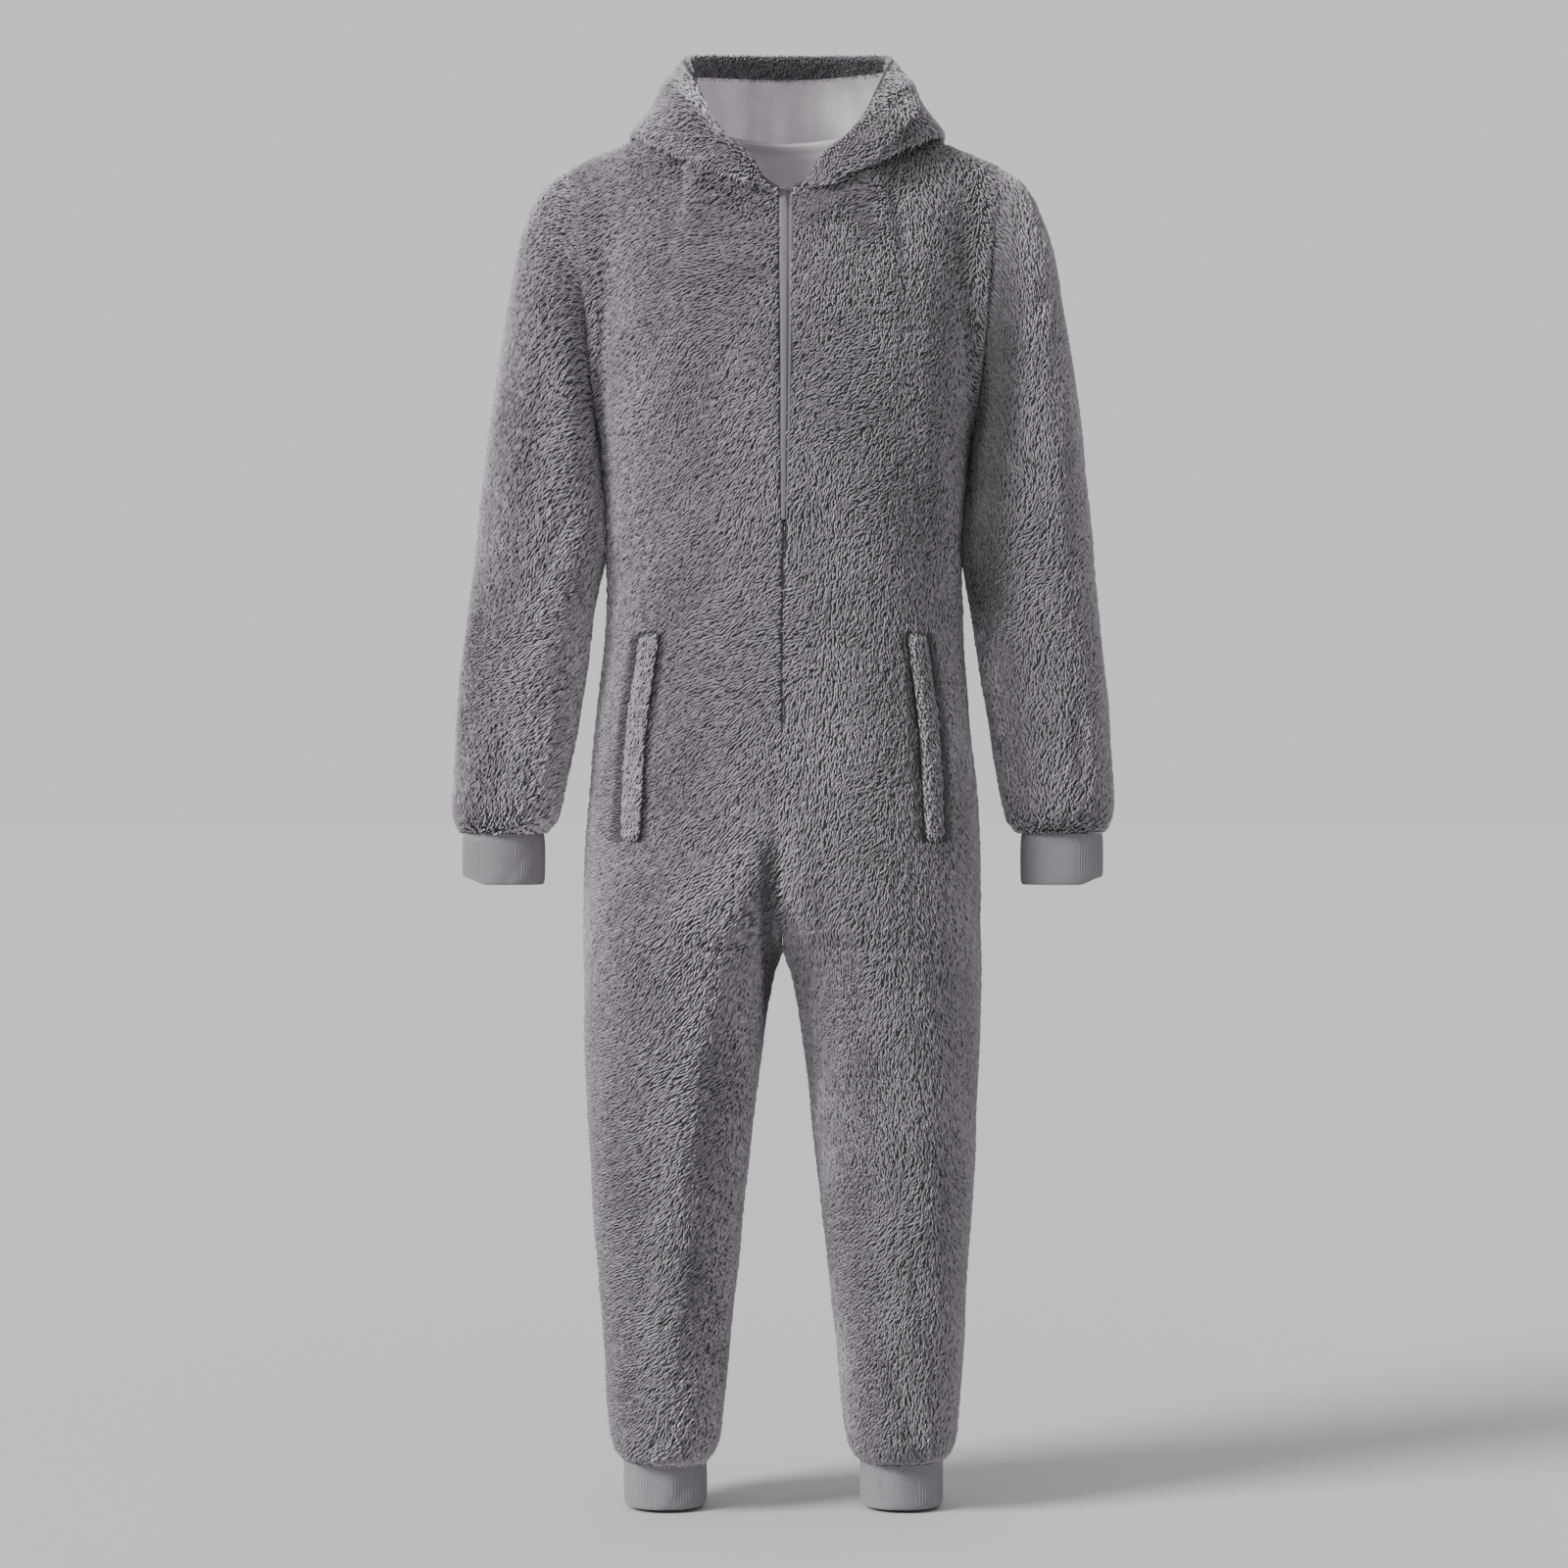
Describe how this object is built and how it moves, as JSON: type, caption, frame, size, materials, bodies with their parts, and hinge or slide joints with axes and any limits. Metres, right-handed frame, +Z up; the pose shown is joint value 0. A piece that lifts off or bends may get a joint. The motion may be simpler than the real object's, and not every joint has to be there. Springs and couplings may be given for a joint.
{
  "type": "hooded fleece onesie pyjama",
  "caption": "Hooded one-piece fleece pyjama with a front zip, welt pockets and ribbed wrist and ankle cuffs, filled out as worn with its hood lying back.",
  "frame": {"origin": "middle of the neck hole, level with the shoulders that carry the garment", "axes": "+X the wearer's left, -Y the wearer's front, +Z up, out of the neck hole"},
  "size_m": [0.729, 0.3372, 1.6207],
  "materials": {
    "fleece": "deep combed pile, matt with a soft sheen",
    "lining": "smooth brushed knit, matt",
    "rib": "fine rib knit, matt",
    "tape": "woven tape, matt",
    "metal": "satin"
  },
  "bodies": {
    "root": {"front_left": "fleece", "back_left": "fleece", "sleeve_left": "fleece", "hood_left": "fleece", "hood_facing_left": "fleece", "pocket_welt_left": "fleece", "front_right": "fleece", "back_right": "fleece", "sleeve_right": "fleece", "hood_right": "fleece", "hood_facing_right": "fleece", "pocket_welt_right": "fleece", "hood_lining_left": "lining", "hood_lining_right": "lining", "neck_facing": "lining", "cuff_wrist_left": "rib", "cuff_ankle_left": "rib", "cuff_wrist_right": "rib", "cuff_ankle_right": "rib", "zip": "tape", "zip_slider": "metal"}
  },
  "joints": []
}
